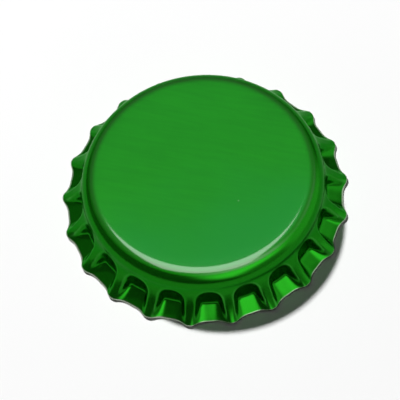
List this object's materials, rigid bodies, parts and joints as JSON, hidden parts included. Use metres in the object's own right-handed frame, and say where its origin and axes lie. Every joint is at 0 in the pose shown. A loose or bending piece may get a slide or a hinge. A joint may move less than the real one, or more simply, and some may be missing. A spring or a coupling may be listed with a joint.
{
  "type": "bottle cap",
  "caption": "Round pressed-metal bottle cap: flat panel, rounded shoulder and flared fluted skirt, with a moulded sealing liner inside.",
  "frame": {"origin": "on the cap's axis, in the plane of the lowest points of the skirt's edge", "axes": "+Z along the axis, up through the top panel as the cap lies mouth down; +X through one flute tip"},
  "size_m": [0.0323, 0.0324, 0.006],
  "materials": {
    "green_lacquer": "glossy green lacquer over tinplate",
    "liner_compound": "satin moulded polymer"
  },
  "bodies": {
    "root": {"shell": "green_lacquer", "liner": "liner_compound"}
  },
  "joints": []
}
